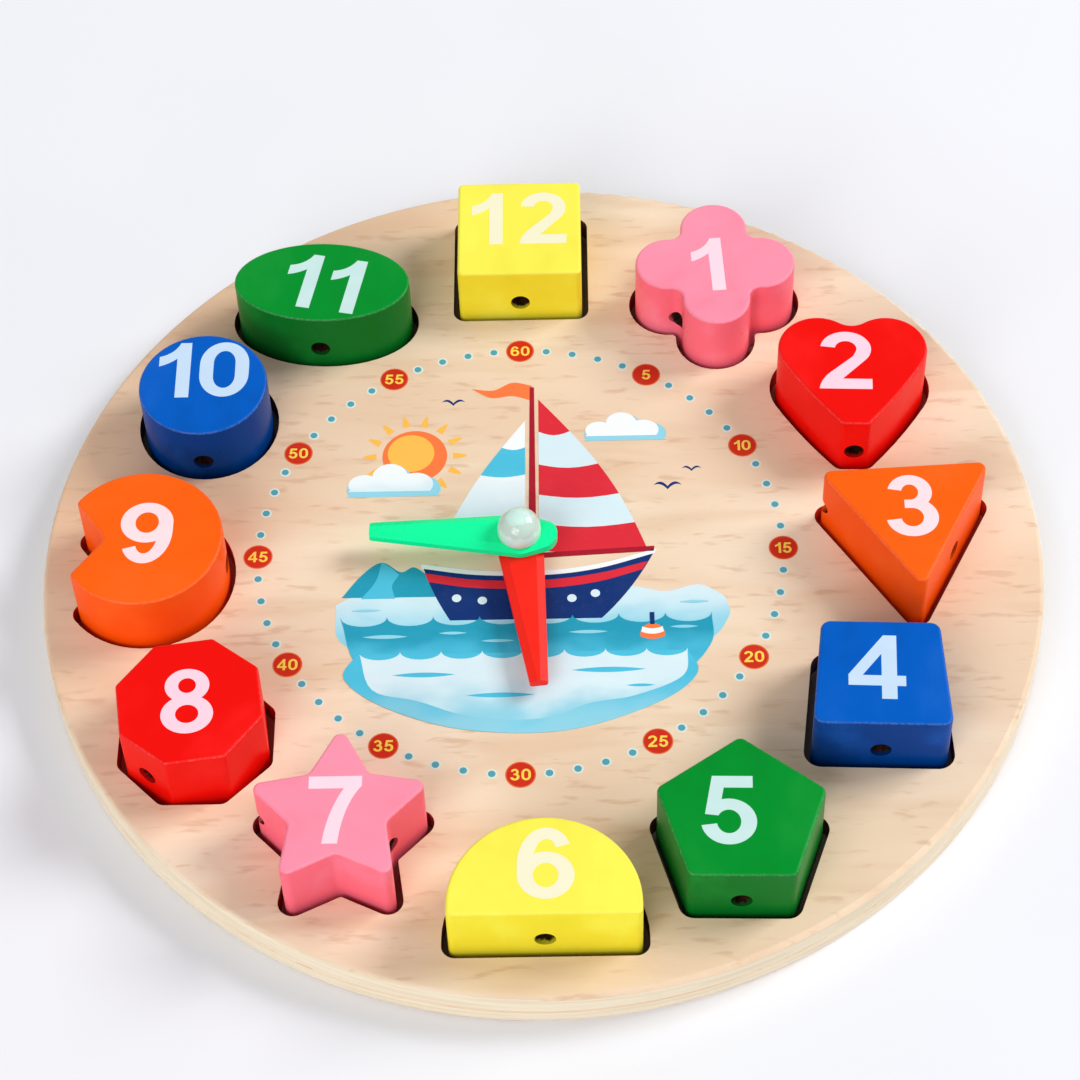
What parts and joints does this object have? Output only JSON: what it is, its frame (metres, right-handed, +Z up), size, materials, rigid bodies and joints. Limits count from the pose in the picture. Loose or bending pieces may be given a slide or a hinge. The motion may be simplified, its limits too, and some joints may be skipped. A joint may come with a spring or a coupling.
{
  "type": "teaching clock",
  "caption": "Round wooden teaching clock board with lift-out shaped number blocks, side threading holes and two free-turning plastic hands.",
  "frame": {"origin": "middle of the board's bottom face", "axes": "+Z up out of the dial, +Y towards twelve o'clock, +X towards three o'clock"},
  "size_m": [0.18, 0.18, 0.02],
  "materials": {
    "board_wood": "clear varnished pale beech, printed dial",
    "back_wood": "bare pale plywood, lightly sanded",
    "yellow_paint": "gloss paint on wood",
    "pink_paint": "gloss paint on wood",
    "red_paint": "gloss paint on wood",
    "orange_paint": "gloss paint on wood",
    "blue_paint": "gloss paint on wood",
    "green_paint": "gloss paint on wood",
    "green_plastic": "moulded, semi gloss",
    "red_plastic": "moulded, semi gloss",
    "clear_plastic": "clear to milky, moulded",
    "white_plastic": "moulded, matt"
  },
  "bodies": {
    "board": {"face_board": "board_wood", "back_board": "back_wood", "pivot_pin": "clear_plastic", "hub_spacer": "white_plastic", "snap_cap": "white_plastic"},
    "minute_hand": {"minute_hand": "red_plastic"},
    "hour_hand": {"hour_hand": "green_plastic"},
    "block_12_square": {"block_12_square": "yellow_paint"},
    "block_01_flower": {"block_01_flower": "pink_paint"},
    "block_02_heart": {"block_02_heart": "red_paint"},
    "block_03_triangle": {"block_03_triangle": "orange_paint"},
    "block_04_trapezoid": {"block_04_trapezoid": "blue_paint"},
    "block_05_pentagon": {"block_05_pentagon": "green_paint"},
    "block_06_arch": {"block_06_arch": "yellow_paint"},
    "block_07_star": {"block_07_star": "pink_paint"},
    "block_08_octagon": {"block_08_octagon": "red_paint"},
    "block_09_notched_disc": {"block_09_notched_disc": "orange_paint"},
    "block_10_disc": {"block_10_disc": "blue_paint"},
    "block_11_oval": {"block_11_oval": "green_paint"}
  },
  "joints": [
    {"name": "minute_hand_turn", "type": "hinge", "parent": "board", "child": "minute_hand", "pos_m": [-0.0039, 0.0008, 0.0114], "axis": [0, 0, -1], "continuous": true},
    {"name": "hour_hand_turn", "type": "hinge", "parent": "board", "child": "hour_hand", "pos_m": [-0.0039, 0.0008, 0.0133], "axis": [0, 0, -1], "continuous": true},
    {"name": "lift_12_square", "type": "slide", "parent": "board", "child": "block_12_square", "axis": [0, 0, 1], "range_m": [0, 0.025]},
    {"name": "lift_01_flower", "type": "slide", "parent": "board", "child": "block_01_flower", "axis": [0, 0, 1], "range_m": [0, 0.025]},
    {"name": "lift_02_heart", "type": "slide", "parent": "board", "child": "block_02_heart", "axis": [0, 0, 1], "range_m": [0, 0.025]},
    {"name": "lift_03_triangle", "type": "slide", "parent": "board", "child": "block_03_triangle", "axis": [0, 0, 1], "range_m": [0, 0.025]},
    {"name": "lift_04_trapezoid", "type": "slide", "parent": "board", "child": "block_04_trapezoid", "axis": [0, 0, 1], "range_m": [0, 0.025]},
    {"name": "lift_05_pentagon", "type": "slide", "parent": "board", "child": "block_05_pentagon", "axis": [0, 0, 1], "range_m": [0, 0.025]},
    {"name": "lift_06_arch", "type": "slide", "parent": "board", "child": "block_06_arch", "axis": [0, 0, 1], "range_m": [0, 0.025]},
    {"name": "lift_07_star", "type": "slide", "parent": "board", "child": "block_07_star", "axis": [0, 0, 1], "range_m": [0, 0.025]},
    {"name": "lift_08_octagon", "type": "slide", "parent": "board", "child": "block_08_octagon", "axis": [0, 0, 1], "range_m": [0, 0.025]},
    {"name": "lift_09_notched_disc", "type": "slide", "parent": "board", "child": "block_09_notched_disc", "axis": [0, 0, 1], "range_m": [0, 0.025]},
    {"name": "lift_10_disc", "type": "slide", "parent": "board", "child": "block_10_disc", "axis": [0, 0, 1], "range_m": [0, 0.025]},
    {"name": "lift_11_oval", "type": "slide", "parent": "board", "child": "block_11_oval", "axis": [0, 0, 1], "range_m": [0, 0.025]}
  ]
}
